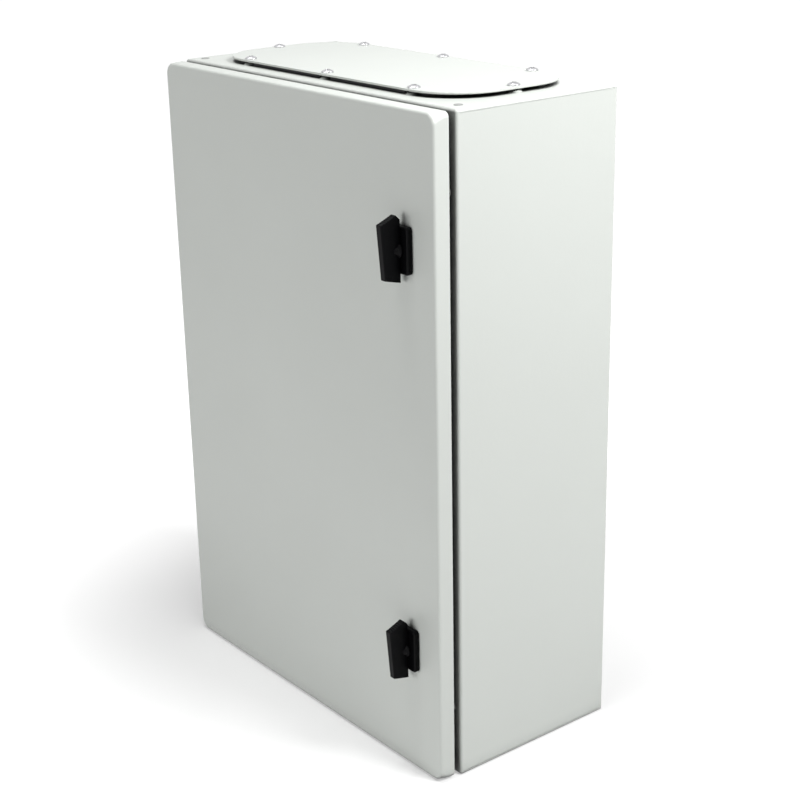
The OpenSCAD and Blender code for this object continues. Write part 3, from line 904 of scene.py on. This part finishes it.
def makeWing(end):
    s = wingSettings
    node = "latch_handle_" + end
    low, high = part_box(node)
    axis = (low.x + high.x) / 2
    half = s["thick"] / 2
    # the slanted top is notched into ribs that run across it
    nose, brow = s["outline"][2], s["outline"][3]
    outline = list(s["outline"][:3])
    for k in range(s["ribs"]):
        for step, deep in s["ribSteps"]:
            share = s["ribStart"] + s["ribReach"] * (k + step) / s["ribs"]
            z = nose[0] + (brow[0] - nose[0]) * share
            out = nose[1] + (brow[1] - nose[1]) * share
            outline.append((z - deep * s["ribDepth"] / (high.z - low.z), out))
    outline += s["outline"][3:]
    points = [wingPoint(low, high, share) for share in outline]
    bm = bmesh.new()
    addRings(bm, [[(axis + side * half, y, z) for z, y in points] for side in (-1, 1)])
    start = len(bm.verts)
    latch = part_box("latch_housing_" + end)
    middle = (latch[0] + latch[1]) / 2
    addRings(bm, [circleRing(r * mm, z * mm) for r, z in s["hub"]])
    moved(bm, start, Matrix.Translation((middle.x, high.y, middle.z)) @ towardDoor)
    mesh = finishMesh(node, bm, s["sharp"])
    wing = makeObject("latchWing-" + end, mesh, "black_plastic", "latch_" + end, (node,))
    addBevel(wing, s["round"], s["roundSteps"], s["roundAngle"])


makeMountingStuds()
makeEarthStuds()
makeLatchNuts()
makeDoorGasket()
makeDoorSkin()
makeWing("upper")
makeWing("lower")
print("mesh pieces ready")


stageSettings = {
    "floorSize": 14.0,
    "floorColor": (0.62, 0.62, 0.62),
    "glowNear": 0.42,
    "glowFar": 1.0,
    "glowReach": (0.26, 0.66),
    "below": 0.2 * mm,    # the floor lies this far under the box
}


def seenByCamera(tree):
    # 1 for rays that show the background: camera, glossy and transmission
    path = addNode(tree, "ShaderNodeLightPath")
    seen = mathNode(tree, "ADD", path.outputs["Is Camera Ray"], path.outputs["Is Glossy Ray"])
    return mathNode(tree, "ADD", seen, path.outputs["Is Transmission Ray"], clamp=True)


def makeFloor():
    s = stageSettings
    bm = bmesh.new()
    bmesh.ops.create_grid(bm, x_segments=2, y_segments=2, size=s["floorSize"] / 2)
    mesh = bpy.data.meshes.new("floor")
    bm.to_mesh(mesh)
    bm.free()
    floor = bpy.data.objects.new("floor", mesh)
    bpy.context.collection.objects.link(floor)
    floor.location = (0, 0, cadBounds[0][2] - s["below"])
    material, tree, shader = newMaterial("pale floor", s["floorColor"], 0.9)
    shader.inputs["Specular IOR Level"].default_value = 0.1
    glow = addNode(tree, "ShaderNodeEmission")
    place = addNode(tree, "ShaderNodeTexCoord").outputs["Object"]
    distance = addNode(tree, "ShaderNodeVectorMath", operation="LENGTH")
    tree.links.new(place, distance.inputs[0])
    rise = addNode(tree, "ShaderNodeMapRange", interpolation_type="SMOOTHSTEP")
    tree.links.new(distance.outputs["Value"], rise.inputs["Value"])
    near, far = s["glowReach"]
    rise.inputs["From Min"].default_value = near
    rise.inputs["From Max"].default_value = far
    rise.inputs["To Min"].default_value = s["glowNear"]
    rise.inputs["To Max"].default_value = s["glowFar"]
    strength = mathNode(tree, "MULTIPLY", seenByCamera(tree), rise.outputs["Result"])
    tree.links.new(strength, glow.inputs["Strength"])
    add = addNode(tree, "ShaderNodeAddShader")
    tree.links.new(shader.outputs[0], add.inputs[0])
    tree.links.new(glow.outputs[0], add.inputs[1])
    tree.links.new(add.outputs[0], tree.nodes["Material Output"].inputs["Surface"])
    mesh.materials.append(material)


def makeWorld():
    world = bpy.data.worlds.new("studio")
    scene.world = world
    world.use_nodes = True
    tree = world.node_tree
    ground = tree.nodes["Background"]
    ground.inputs["Color"].default_value = (1, 1, 1, 1)
    tree.links.new(seenByCamera(tree), ground.inputs["Strength"])


# place, what it points at, width, height, power in watts
lamps = {
    "top box": ((0.1, -0.34, 1.9), (0.0, -0.1, 0.0), 0.5, 0.5, 18.0),
    "right box": ((1.2, 0.25, 1.15), (0.2, -0.1, 0.2), 0.6, 0.6, 29.5),
    "front box": ((-0.1, -2.1, 0.1), (0.0, -0.2, 0.0), 1.0, 1.0, 17.5),
}


def makeLamps():
    for name, (place, target, width, height, power) in lamps.items():
        data = bpy.data.lights.new(name, "AREA")
        data.shape = "RECTANGLE"
        data.size = width
        data.size_y = height
        data.energy = power
        lamp = bpy.data.objects.new(name, data)
        bpy.context.collection.objects.link(lamp)
        lamp.location = place
        aim = Vector(target) - Vector(place)
        lamp.rotation_euler = aim.to_track_quat("-Z", "Y").to_euler()


cameraSettings = {
    "place": (1.1728, -1.0051, 0.5182),
    "heading": 51.78,
    "pitch": -19.72,
    "roll": -1.158,
    "lens": 73.77,
    "sensor": 36.0,
    "clipStart": 0.01,
}


def makeCamera():
    s = cameraSettings
    data = bpy.data.cameras.new("camera")
    data.lens = s["lens"]
    data.sensor_width = s["sensor"]
    data.clip_start = s["clipStart"]
    camera = bpy.data.objects.new("camera", data)
    bpy.context.collection.objects.link(camera)
    turn = Euler((math.radians(90 + s["pitch"]), 0, math.radians(s["heading"]))).to_matrix()
    roll = Matrix.Rotation(math.radians(s["roll"]), 3, "Z")
    camera.matrix_world = Matrix.Translation(s["place"]) @ (turn @ roll).to_4x4()
    scene.camera = camera


makeFloor()
makeWorld()
makeLamps()
makeCamera()
print("stage ready")
